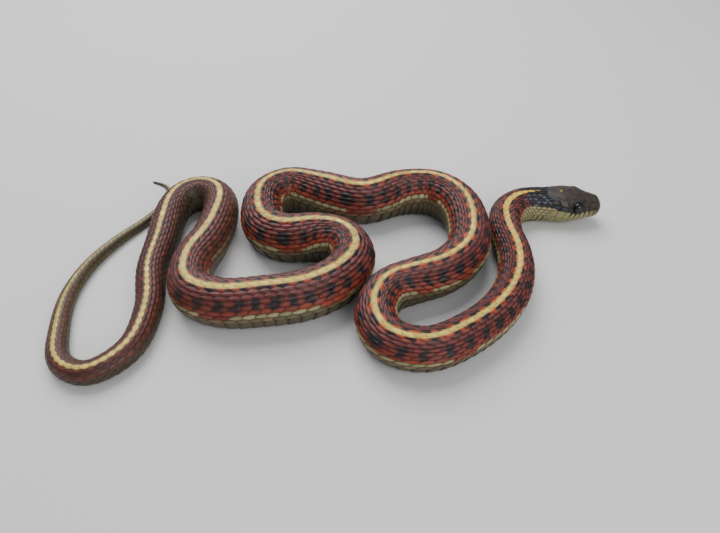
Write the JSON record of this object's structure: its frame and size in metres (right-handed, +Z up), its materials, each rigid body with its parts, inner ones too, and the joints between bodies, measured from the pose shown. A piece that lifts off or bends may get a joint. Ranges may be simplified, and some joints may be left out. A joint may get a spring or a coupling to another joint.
{
  "type": "garter snake",
  "caption": "Slender snake at rest on a flat surface, its body laid in loose flat loops, its head low and its thin tail curled to one side.",
  "frame": {"origin": "on the floor, under the middle of the whole animal's box", "axes": "+X towards the snout along the long side of the loops, +Y to the far side of the loops, +Z up"},
  "size_m": [0.1792, 0.0974, 0.0165],
  "materials": {
    "head_skin": "smooth horny plates, olive brown, a soft satin sheen",
    "pale_skin": "smooth cream and olive belly scales, satin",
    "body_skin": "keeled overlapping scales, brick red with black spots and a pale yellow stripe along the back, satin",
    "tail_skin": "small keeled scales, dark olive with a pale stripe along the back, satin",
    "eye": "wet, dark brown, very glossy"
  },
  "bodies": {
    "root": {"head": "head_skin", "lower_jaw": "pale_skin", "eye_left": "eye", "eye_right": "eye", "neck": "body_skin", "body_01": "body_skin", "body_02": "body_skin", "body_03": "body_skin", "body_04": "body_skin", "body_05": "body_skin", "body_06": "body_skin", "body_07": "body_skin", "body_08": "body_skin", "body_09": "body_skin", "body_10": "body_skin", "body_11": "body_skin", "body_12": "body_skin", "body_13": "body_skin", "body_14": "body_skin", "body_15": "body_skin", "body_16": "body_skin", "body_17": "body_skin", "body_18": "body_skin", "body_19": "body_skin", "tail_01": "tail_skin", "tail_02": "tail_skin", "tail_03": "tail_skin", "tail_04": "tail_skin", "tail_05": "tail_skin", "tail_tip": "tail_skin"}
  },
  "joints": []
}
